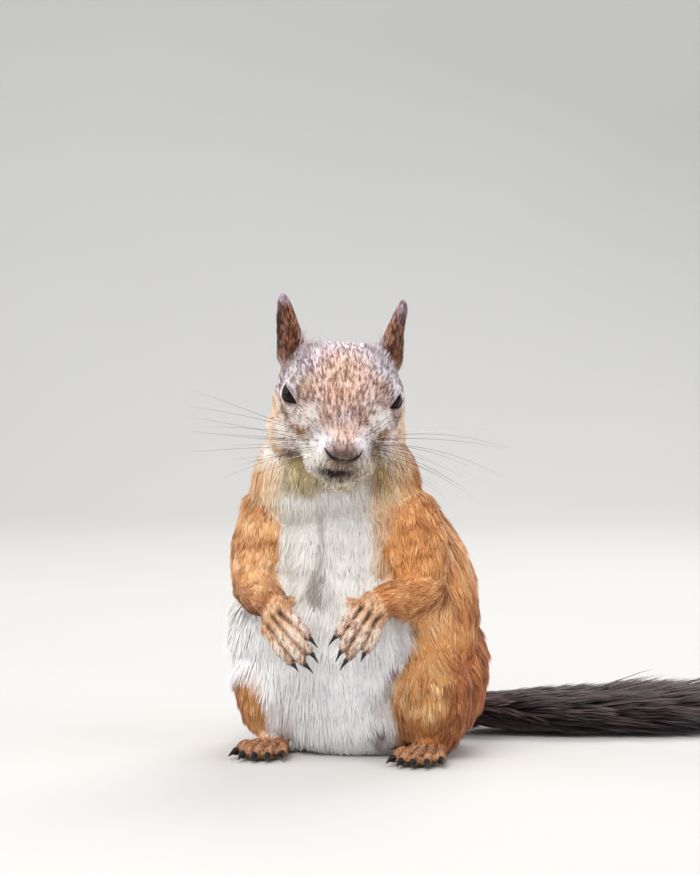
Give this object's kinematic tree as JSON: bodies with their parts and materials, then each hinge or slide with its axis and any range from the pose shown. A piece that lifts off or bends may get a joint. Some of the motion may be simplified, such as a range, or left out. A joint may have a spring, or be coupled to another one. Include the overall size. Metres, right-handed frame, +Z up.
{
  "type": "red squirrel",
  "caption": "Red squirrel sitting up on its haunches, hands held in front of its white belly and its dark bushy tail laid out behind to one side.",
  "frame": {"origin": "centre of the bounding box on the floor plane, under the whole animal and its tail", "axes": "+X runs to the animal's own left, the way the tail lies; -Y is the way the face looks; +Z is up"},
  "size_m": [0.2204, 0.1512, 0.1704],
  "materials": {
    "fur_white": "soft white belly fur, orange towards the back",
    "fur_face": "short grizzled brown and grey fur, cream round the muzzle",
    "fur_rust": "orange to deep rust fur",
    "fur_ear": "very short dark brown fur, paler rim",
    "fur_tail": "long blackish brown tail hair",
    "eye_dark": "wet glossy dark brown eye",
    "claw_horn": "dark grey black polished horn"
  },
  "bodies": {
    "root": {"torso": "fur_white", "neck": "fur_white", "head": "fur_face", "eye_left": "eye_dark", "eye_right": "eye_dark", "ear_left": "fur_ear", "ear_right": "fur_ear", "upper_arm_left": "fur_rust", "forearm_left": "fur_rust", "hand_left": "fur_rust", "claw_hand_left_1": "claw_horn", "claw_hand_left_2": "claw_horn", "claw_hand_left_3": "claw_horn", "claw_hand_left_4": "claw_horn", "upper_arm_right": "fur_rust", "forearm_right": "fur_rust", "hand_right": "fur_rust", "claw_hand_right_1": "claw_horn", "claw_hand_right_2": "claw_horn", "claw_hand_right_3": "claw_horn", "claw_hand_right_4": "claw_horn", "thigh_left": "fur_rust", "shank_left": "fur_rust", "foot_left": "fur_rust", "claw_foot_left_1": "claw_horn", "claw_foot_left_2": "claw_horn", "claw_foot_left_3": "claw_horn", "claw_foot_left_4": "claw_horn", "claw_foot_left_5": "claw_horn", "thigh_right": "fur_rust", "shank_right": "fur_rust", "foot_right": "fur_rust", "claw_foot_right_1": "claw_horn", "claw_foot_right_2": "claw_horn", "claw_foot_right_3": "claw_horn", "claw_foot_right_4": "claw_horn", "claw_foot_right_5": "claw_horn", "tail_root": "fur_tail", "tail_brush": "fur_tail"}
  },
  "joints": []
}
